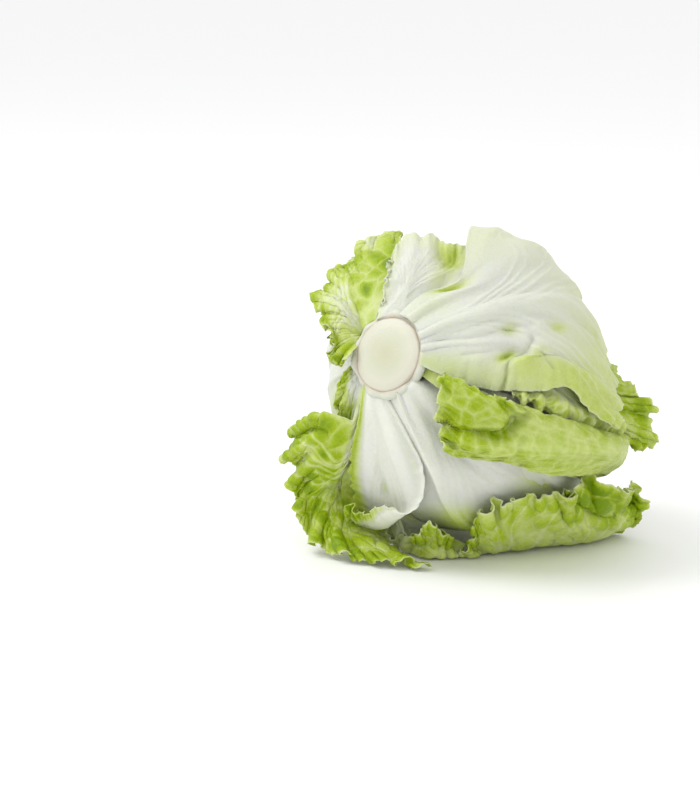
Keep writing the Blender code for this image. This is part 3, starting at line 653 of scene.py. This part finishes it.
# The tucked leaf
# A thin green leaf caught between the folded one and the big white one. Only its curled edge looks out.
leaf("tucked_leaf", "leaf_tucked", green_leaf, (
    ((15.5, 91, 3), (30, 90, 3.5), (45, 93, 6), (48, 96, 10), (49, 99, 9)),
    ((15.5, 89.5, 3), (34, 87, 3.5), (51, 92, 6.5), (53, 96, 12), (54, 99.5, 9.5)),
    ((15.5, 88, 3), (40, 84, 3.5), (58, 91, 6.5), (59, 95.5, 13), (61, 100, 9.5)),
    ((15.5, 86.5, 3), (46, 81, 3.5), (68, 90, 7), (70, 94.5, 13), (71, 100, 9.5)),
    ((15.5, 85, 3), (52, 79, 3), (80, 90, 7), (82, 94.5, 13), (83, 100.5, 10)),
    ((15.5, 83.5, 3), (60, 80, 3), (92, 88, 6.5), (94, 94, 13), (95, 100.5, 10)),
    ((15.5, 82, 3), (66, 80, 3), (104, 89, 5), (107, 94, 13), (108, 99, 9)),
), columns=180, rows=50, frill=(1, 1.5), waves=6, reach=1.5, seed=29, base=1.4, crimp=1.2,
     green=(0.4, 0.65, 0.3, 1.0), blister=1.2, blister_from=0.2)

# The leaf left of the top one
# A pale leaf that lies over the left frill. Its left edge is torn and lacy, its right one goes under.
leaf("upper_left_leaf", "leaf_upper_left", white_leaf, (
    ((14, 324, 8.5), (18, 332, 10), (22, 337, 12), (29, 338, 13), (38, 339, 14)),
    ((14, 336, 8), (21, 344, 9), (28, 346, 11), (38, 344, 12), (50, 338, 16)),
    ((14, 348, 7), (23, 353, 6.5), (33, 354, 8), (43, 352, 10), (54, 346, 14)),
    ((14, 359, 6), (24, 3, 4.5), (33, 6, 4), (44, 3, 5), (58, 354, 8)),
    ((15, 10, 4), (26, 17, 3), (36, 22, 2), (48, 18, 2), (62, 8, 3)),
), columns=140, rows=90, frill=(1, 0.8, 0.8, 0.6, 0.3), waves=5, seed=5, crimp=0.3, crimp_depth=5,
     side_crimp=(1.8, 0), green=(0.0, 0.12, 0.7, 1.0), side_green=(0.15, 0), blister=0.4, vein_height=0.1,
     vein_pale=0.2, lace=2,
     bumps=((0.58, 0.85, 0.25, 0.12, -6), (0.75, 0.5, 0.2, 0.25, -3), (-0.2, 0.7, 0.3, 0.2, 2)),
     # Both spots are painted shade: greener colour in the deep hollow at the right and in the dip below it.
     spots=((0.56, 0.88, 0.25, 0.16, 0.5), (0.65, 0.6, 0.25, 0.2, 0.15)))

# The spoon leaf under the stem
# A short white leaf, hollow like a spoon, with a curled green margin on its left.
# Its greenness starts below 0, so its white is the lightest white: painted light. Two spots are painted
# shade: green in the small pocket at the end of the left crease, and on the right side beside the right
# crease.
leaf("spoon_leaf", "leaf_cup", white_leaf, (
    ((14, 214, 9), (27, 203, 9), (42, 204, 10.5), (60, 206, 12), (72, 206, 16), (73, 204, 21),
     (66, 202, 23.5), (58, 200, 21)),
    ((14, 204, 9), (31, 198, 6.5), (46, 198, 7.5), (62, 199, 10), (74, 199, 13.5), (75, 198, 18.5),
     (68, 196, 21), (61, 195, 19.5)),
    ((14, 193, 9), (31, 185, 5.5), (47, 184, 6), (61, 186, 9.5), (68, 188, 13), (69, 189, 17),
     (64, 190, 19.5), (59, 191, 18.5)),
    ((14, 184, 9), (29, 171, 6.5), (44, 169, 7), (55, 172, 10), (60, 177, 13), (61, 180, 16), (58, 182, 18),
     (54, 184, 17.5)),
    ((14, 176, 9), (26, 160, 8), (41, 157, 9), (50, 161, 12), (55, 167, 15), (56, 171, 16.5), (55, 174, 18),
     (53, 176, 18)),
), columns=130, rows=120, frill=(1.2, 0.8, 0.5, 0.4, 0.3), waves=5, reach=6, seed=13, side_crimp=(1, 0.3),
     side_green=(0.85, 0), green=(-0.1, 0.9, 0.85, 1.0), blister=0.2, crimp=0.7, crimp_pitch=8,
     crimp_depth=5, lace=0.8,
     spots=((-0.09, 0.36, 0.06, 0.03, 0.5), (0.75, 0.28, 0.2, 0.2, 0.15), (0.8, 1.0, 0.5, 0.2, -0.7)),
     folds=(([(0.78, 0.03), (0.84, 0.18), (0.9, 0.28)], 1.5, 2.5),
            ([(-0.3, 0.11), (-0.2, 0.26), (-0.09, 0.38)], 1.5, 2)))

# The big top leaf
# The widest wrapper leaf. White ribs fan up and over the head from the stem. Its dents and the start of one
# crease are painted a greener grey as shade, and its right side is greener, partly its own colour and partly
# painted shade.
leaf("top_leaf", "leaf_top", white_leaf, (
    ((14, 6, 9), (22, 11, 8), (28, 16, 8), (32, 23, 8.5), (37, 26, 9), (44, 19, 10), (53, 9, 10),
     (72, 356, 10), (88, 350, 9)),
    ((14, 20, 9), (23, 23, 7), (30, 28, 6.5), (38, 33, 7), (47, 28, 7.5), (56, 23, 8), (67, 14, 8),
     (82, 8, 8), (97, 354, 8)),
    ((14, 35, 9), (23, 35, 6.5), (33, 37, 6), (45, 38, 6.5), (57, 34, 6), (71, 30, 6), (86, 23, 6),
     (100, 18, 6), (112, 12, 6)),
    ((14, 49, 9), (24, 47, 7), (36, 47, 6.5), (48, 45, 6.5), (60, 44, 6), (74, 41, 5), (88, 41, 5),
     (102, 38, 5), (116, 35, 5)),
    ((14, 64, 9), (24, 59, 7), (35, 60, 6.5), (47, 59, 5.5), (58, 60, 6), (71, 61, 5.5), (85, 63, 5),
     (99, 66, 5), (114, 68, 5)),
    ((14, 76, 9), (24, 73, 7), (35, 73, 6.5), (46, 73, 6), (54, 76, 8), (65, 75, 7.5), (77, 77, 6.5),
     (91, 78, 6), (106, 82, 7)),
    ((14, 85, 9), (23, 83, 7), (32, 84, 7.5), (41, 84, 8), (48, 81, 10.5), (57, 79, 11), (69, 81, 10.5),
     (83, 87, 12), (98, 91, 14.5)),
    ((14, 97, 8.5), (23, 99.5, 6.5), (32, 99.5, 6.5), (41, 98, 7.5), (49, 94.5, 9.5), (57, 92, 11),
     (66, 88, 12.5), (75, 94, 17.5), (91, 97, 19)),
), columns=260, rows=120, frill=(1, 1.5, 1.5, 1.5, 1.5, 1.5, 1, 1), waves=7, seed=3,
     ridges=((-0.6, 2.5, 0.2, 1.3), (0.0, 1.5, 0.1, 1.0), (0.38, 1.2, 0.08, 1.0)),
     green=(0.0, 0.15, 0.3, 1.0), side_green=(0, 0.25), blister=0.2, vein_height=0.25, crimp=0.8,
     side_crimp=(0, 0.8),
     folds=(([(0.25, 0.05), (0.13, 0.23), (0.11, 0.4), (0.11, 0.62), (0.1, 0.8)], 1.1, 2.2),
            ([(0.3, 0.07), (0.31, 0.22), (0.22, 0.35), (0.2, 0.47)], 1.3, 2),
            ([(0.63, 0.2), (0.51, 0.33), (0.5, 0.42)], 0.9, 2),
            ([(-0.15, 0.25), (-0.08, 0.5), (0.0, 0.75)], 0.5, 2),
            ([(0.32, 0.48), (0.48, 0.455), (0.7, 0.445), (0.87, 0.44), (1.0, 0.42)], 2.4, 2.6),
            ([(0.42, 0.53), (0.6, 0.6), (0.8, 0.68)], 1.4, 1.5)),
     bumps=((0.24, 0.37, 0.07, 0.04, -3.5), (0.58, 0.39, 0.1, 0.04, -4), (0.19, 0.59, 0.05, 0.04, -1.8),
            (-0.9, 0.33, 0.12, 0.12, -3), (0.65, 0.53, 0.25, 0.05, 2)),
     # The first four spots and the sixth lie in the dents and at the start of a crease: painted shade.
     spots=((0.24, 0.37, 0.07, 0.04, 0.4), (0.58, 0.39, 0.09, 0.04, 0.6), (0.19, 0.59, 0.05, 0.04, 0.25),
            (-0.92, 0.34, 0.16, 0.11, 0.5), (0.65, 0.54, 0.22, 0.07, 0.25), (0.42, 0.52, 0.06, 0.03, 0.2),
            (0.5, 0.85, 0.6, 0.2, 0.2), (-0.6, 0.13, 0.3, 0.12, 0.08)))

# The left frill
# An outer leaf that flares out from the stem, all in bright ruffles and blisters with pale veins.
leaf("left_frill", "leaf_frill_left", green_leaf, (
    ((16, 277, 6), (14, 269, 9), (13, 258, 12), (13, 250, 14), (14, 244, 15)),
    ((17, 281, 6), (17, 271, 10), (17, 261, 13), (17, 253, 15), (18, 248, 16)),
    ((17, 285, 6), (19, 277, 11), (20, 267, 15), (20, 260, 17), (20, 256, 18)),
    ((18, 289, 6), (21, 286, 12), (23, 280, 16), (23, 277, 18), (22, 274, 20)),
    ((17, 293, 6), (25, 296, 13), (29, 293, 17), (33, 290, 19), (37, 287, 21)),
    ((17, 297, 6), (28, 303, 13), (37, 301, 17), (45, 298, 19), (52, 295, 21)),
    ((16, 302, 6), (33, 309, 12), (43, 308, 16), (52, 305, 18), (56, 305, 21)),
    ((16, 306, 6), (34, 314, 10), (47, 314, 14), (56, 313, 17), (60, 314, 21)),
    ((16, 311, 6), (33, 320, 8), (46, 322, 12), (57, 321, 16), (63, 323, 21)),
    ((15.5, 318, 5.5), (28, 333, 5.5), (44, 335, 6), (58, 331, 9), (66, 330, 14)),
), columns=270, rows=80, frill=(1, 2, 3, 3.5, 3.5, 3.5, 3, 2, 0.5), waves=6, reach=1.6, skew=0.5, seed=8,
     crimp=1.5, crimp_pitch=10, lace=1.8, green=(0.55, 0.9, 0.1, 0.8), blister=4, blister_size=12,
     blister_from=0.0, vein_height=0.6,
     spots=((0.43, 0.78, 0.12, 0.1, 0.4), (0.91, 0.43, 0.1, 0.15, 0.45), (0.68, 0.22, 0.12, 0.1, 0.45),
            (0.1, 0.12, 0.3, 0.1, 0.3), (0.17, 0.42, 0.12, 0.1, -0.3), (-0.1, 0.55, 0.12, 0.1, -0.35),
            (-0.38, 0.8, 0.15, 0.1, -0.25), (0.7, 0.88, 0.22, 0.16, -0.55), (-0.73, 0.87, 0.1, 0.1, 0.35)))

# The leaf in the gap
# A small leaf deep between the left frill and the curl under it, white beside the stem and dark at its edge.
leaf("left_leaf", "leaf_left", green_leaf, (
    ((16, 227, 3), (28, 215, 4), (40, 214, 4.5), (56, 218, 4.5)),
    ((16, 234, 3), (25, 222, 4.5), (34, 218, 5.5), (47, 218, 6)),
    ((16, 242, 3), (23, 231, 5), (30, 223, 7), (41, 220, 7)),
    ((16, 250, 3), (21, 241, 5.5), (26, 234, 7.5), (35, 227, 8)),
    ((16, 260, 3), (19, 254, 5.5), (22, 246, 8), (28, 239, 8)),
), columns=120, rows=60, frill=(0.5, 1, 1.5, 1.5, 1), waves=4, seed=41, base=1.6, crimp=1.2,
     side_crimp=(0.3, 1), green=(0.0, 0.9, 0.2, 0.6))

# The left floor leaf
# An outer leaf that stands as a curl beside the spoon leaf and runs out over the surface in a ruffled edge.
leaf("left_floor_leaf", "leaf_floor_left", green_leaf, (
    ((15.5, 222, 6.5), (50, 208, 6), (77, 212, 12), (79, 199, 16), (74, 184, 24), (73, 168, 32)),
    ((15.5, 221, 6.5), (47, 208, 6), (73, 213, 15), (72, 204, 23), (68, 194, 32), (68, 183, 38)),
    ((15.5, 219.5, 6.5), (44, 208, 7), (69, 214, 16), (69, 209, 25), (67, 203, 36), (67, 197, 44)),
    ((15.5, 218, 6.5), (41, 208, 7.5), (64, 214, 15), (65, 214, 24), (67, 212, 36), (70, 208, 47)),
    ((15.5, 216.5, 6.5), (38, 207, 7.5), (53, 211, 14), (56, 215, 22), (62, 218, 30), (66, 216, 41)),
    ((15.5, 215, 7), (34, 207, 8), (43, 210, 14), (44, 216, 22), (53, 222, 27), (61, 224, 34)),
    ((15.5, 213, 7), (31, 207, 8), (34, 211, 14), (34, 219, 20), (43, 225, 24), (58, 231, 29)),
    ((15.5, 211, 7), (28, 208, 8), (28, 212, 13), (29, 220, 18), (37, 229, 21), (54, 236, 24)),
), columns=280, rows=92, frill=(2, 3, 3, 4, 4, 4, 3, 2), waves=7, seed=11, crimp=2.0, crimp_pitch=12,
     lace=1.2, green=(0.5, 0.98, 0.2, 0.9), blister=2.8, blister_size=12, blister_from=0.2,
     spots=((0.42, 0.76, 0.16, 0.12, -0.4), (0.0, 0.76, 0.25, 0.15, 0.35), (0.3, 0.42, 0.6, 0.12, 0.35),
            (-0.88, 0.79, 0.12, 0.15, -0.35), (0.43, 0.56, 0.1, 0.05, 0.4), (-0.45, 0.9, 0.2, 0.1, 0.2),
            (0.5, 0.62, 0.3, 0.12, 0.3)), folds=(([(0.85, 0.9), (0.7, 0.7), (0.62, 0.54)], 2.5, 2.2),))

# The floor leaf
# The outer leaf on which the head rests. Its edge turns up along the near side in a row of deep ruffles.
leaf("floor_leaf", "leaf_floor", green_leaf, (
    ((15.5, 190, 2.5), (38, 190, 2), (58, 190, 4), (71, 194, 8), (80, 199, 16), (79, 196, 19),
     (76, 192, 17)),
    ((15.5, 193, 2.5), (40, 192, 2), (62, 191, 4.5), (75, 187, 11), (82, 184, 22), (78, 182, 18),
     (74, 180, 14)),
    ((15.5, 196, 2.5), (42, 196, 2), (66, 196, 6), (78, 190, 12), (80, 176, 21), (75, 173, 15),
     (62, 165, 14)),
    ((15.5, 198, 2.5), (43, 199, 2), (69, 199, 7), (84, 193, 13), (85, 172, 19), (83, 172, 14),
     (79, 170, 9)),
    ((15.5, 200, 2.5), (44, 202, 2), (72, 203, 7.5), (90, 196, 14), (89, 168, 19), (88, 167, 16),
     (86, 166, 12)),
    ((15.5, 203, 2.5), (45, 205, 2), (75, 206, 8), (98, 200, 15), (96, 167, 16), (88, 163, 13),
     (74, 155, 12)),
    ((15.5, 206, 2.5), (45, 208, 2), (76, 210, 8), (103, 204, 15), (101, 166, 15), (77, 152, 12),
     (66, 144, 9)),
    ((15.5, 208.5, 2.5), (46, 211, 2), (77, 214, 8), (107, 209, 15), (109, 161, 16), (82, 145, 11),
     (71, 136, 8)),
    ((15.5, 211, 2.5), (46, 213, 2), (78, 218, 8), (110, 214, 15), (114, 151, 19), (92, 136, 14),
     (80, 127, 10)),
    ((15.5, 213, 2.5), (46, 215, 2), (78, 222, 8), (112, 219, 14), (120, 143, 26), (100, 129, 19),
     (89, 121, 12)),
    ((15.5, 215, 2.5), (46, 217, 2), (78, 226, 8), (114, 225, 13), (125, 136, 33), (109, 124, 23),
     (97, 114, 17)),
    ((15.5, 217.5, 2.5), (46, 220, 2), (78, 230, 8), (116, 231, 11), (131, 131, 37), (132, 123, 33),
     (134, 114, 30)),
    ((15.5, 220, 2.5), (46, 222, 2), (78, 234, 8), (117, 238, 10), (134, 133, 38), (133, 122, 41),
     (131, 116, 41)),
), columns=320, rows=116, hidden=0.27, frill=(1, 1.5, 1.5, 2, 2, 2, 3, 3.5, 3, 3), waves=8, reach=7,
     skew=0.5, seed=19, crimp=2.2, crimp_pitch=14, crimp_depth=14, side_crimp=(0, 2.2), lace=0.8,
     lace_pitch=5, side_green=(0, 0.35), green=(0.25, 0.8, 0.5, 0.95), blister=2.4, blister_size=11,
     blister_from=0.1,
     folds=(([(0.62, 1.0), (0.64, 0.92), (0.55, 0.82)], 5, 3),
            ([(0.48, 1.0), (0.52, 0.88), (0.66, 0.8)], 5, 3),
            ([(0.4, 1.0), (0.4, 0.94), (0.43, 0.86)], 3, 3),
            ([(0.85, 1.0), (0.8, 0.9), (0.72, 0.82)], 4, 3), ([(0.3, 1.0), (0.3, 0.9)], -2.5, 4),
            ([(0.02, 1.0), (0.04, 0.88), (0.08, 0.8)], -2.5, 3.5)),
     # The first two spots lie on two of the deep folds: painted shade, a darker green in the pockets.
     spots=((0.5, 0.93, 0.06, 0.05, 0.4), (0.63, 0.93, 0.06, 0.05, 0.4), (-0.3, 0.9, 0.4, 0.2, 0.15),
            (-0.93, 0.9, 0.08, 0.1, -0.5), (0.05, 0.93, 0.08, 0.05, -0.25)))

# The surface
# A smooth white table under even light, so that only the head's own shadow marks it.
start_clean()
bpy.ops.mesh.primitive_plane_add(size=30)
table = bpy.context.object
table.name = "table"
white_table = Finish("white table", Roughness=0.6, Base_Color=(0.92, 0.92, 0.92, 1.0))
table.data.materials.append(white_table.material)

# The light
# A white room with one large soft lamp high at the left of the camera and a weak one at the right.
world = bpy.data.worlds.new("white room")
world.use_nodes = True
world.node_tree.nodes["Background"].inputs["Color"].default_value = (1.0, 1.0, 1.0, 1.0)
world.node_tree.nodes["Background"].inputs["Strength"].default_value = 1.0
bpy.context.scene.world = world
for place, power, size in (((-0.9, -0.7, 1.5), 15, 1.0), ((1.3, -0.9, 1.0), 3, 0.8)):
    start_clean()
    bpy.ops.object.light_add(type="AREA", location=place)
    lamp = bpy.context.object
    lamp.data.energy = power
    lamp.data.size = size
    lamp.rotation_mode = "QUATERNION"
    lamp.rotation_quaternion = (Vector(place) - Vector(CENTRE)).to_track_quat("Z", "Y")

# The camera
# It stands at the photograph's viewing angle, to the right of the stem and a little above the head.
VIEW_AZIMUTH = math.radians(38)
VIEW_ELEVATION = math.radians(13)
VIEW_DISTANCE = 1.2
METRES_A_PIXEL = 0.53 * MM
PICTURE = (700, 800)
HEAD_MIDDLE = (474, 385)
right = Vector((math.cos(VIEW_AZIMUTH), math.sin(VIEW_AZIMUTH), 0))
back = Vector((math.sin(VIEW_AZIMUTH) * math.cos(VIEW_ELEVATION),
               -math.cos(VIEW_AZIMUTH) * math.cos(VIEW_ELEVATION),
               math.sin(VIEW_ELEVATION)))
up = back.cross(right)
aim = (Vector(CENTRE) - right * (HEAD_MIDDLE[0] - PICTURE[0] / 2) * METRES_A_PIXEL
       + up * (HEAD_MIDDLE[1] - PICTURE[1] / 2) * METRES_A_PIXEL)
bpy.ops.object.camera_add(location=aim + back * VIEW_DISTANCE)
camera = bpy.context.object
camera.rotation_mode = "QUATERNION"
camera.rotation_quaternion = back.to_track_quat("Z", "Y")
camera.data.lens = VIEW_DISTANCE / METRES_A_PIXEL * camera.data.sensor_width / PICTURE[1]
bpy.context.scene.camera = camera
bpy.context.scene.view_settings.view_transform = "Standard"
